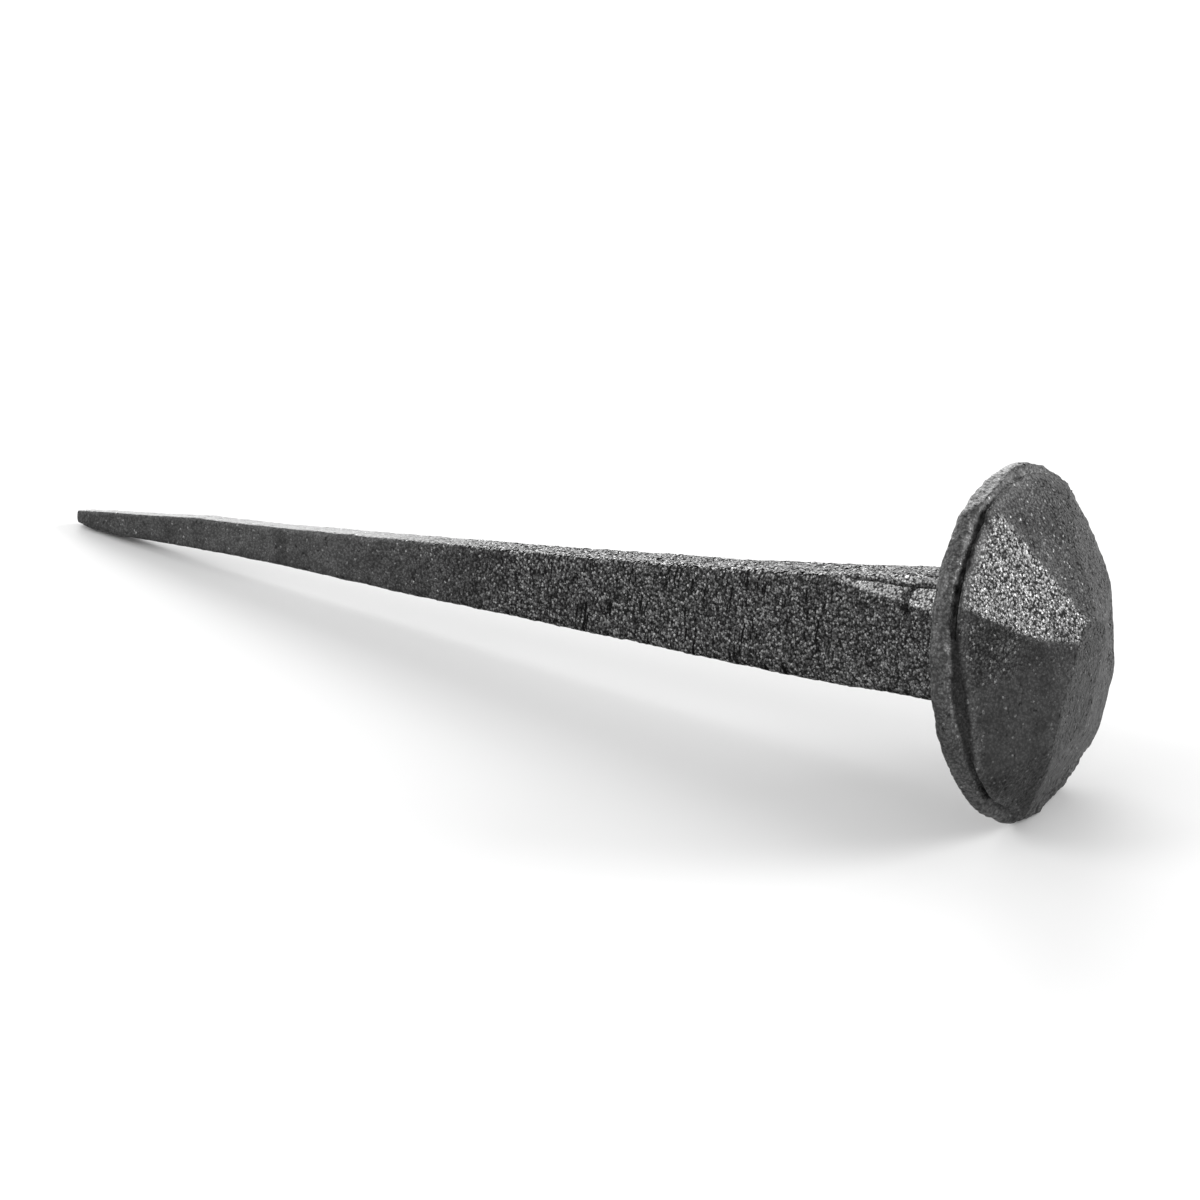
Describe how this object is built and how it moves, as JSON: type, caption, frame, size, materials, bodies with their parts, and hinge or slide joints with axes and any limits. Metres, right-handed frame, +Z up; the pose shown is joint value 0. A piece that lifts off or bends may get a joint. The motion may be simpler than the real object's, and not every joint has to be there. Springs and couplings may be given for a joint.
{
  "type": "forged spike",
  "caption": "Hand-forged square spike with a tapered shank, a blunt point and a broad, faceted, domed head with a thin brim.",
  "frame": {"origin": "on the level surface that the spike lies on, under the middle of its bounding box", "axes": "+Z up; +X along the spike as it lies, from the point towards the head; +Y to its left seen from the point, with the shank's broad front face towards -Y"},
  "size_m": [0.1338, 0.035, 0.0342],
  "materials": {
    "shank_scale": "satin",
    "head_scale": "satin"
  },
  "bodies": {
    "root": {"shank": "shank_scale", "head": "head_scale"}
  },
  "joints": []
}
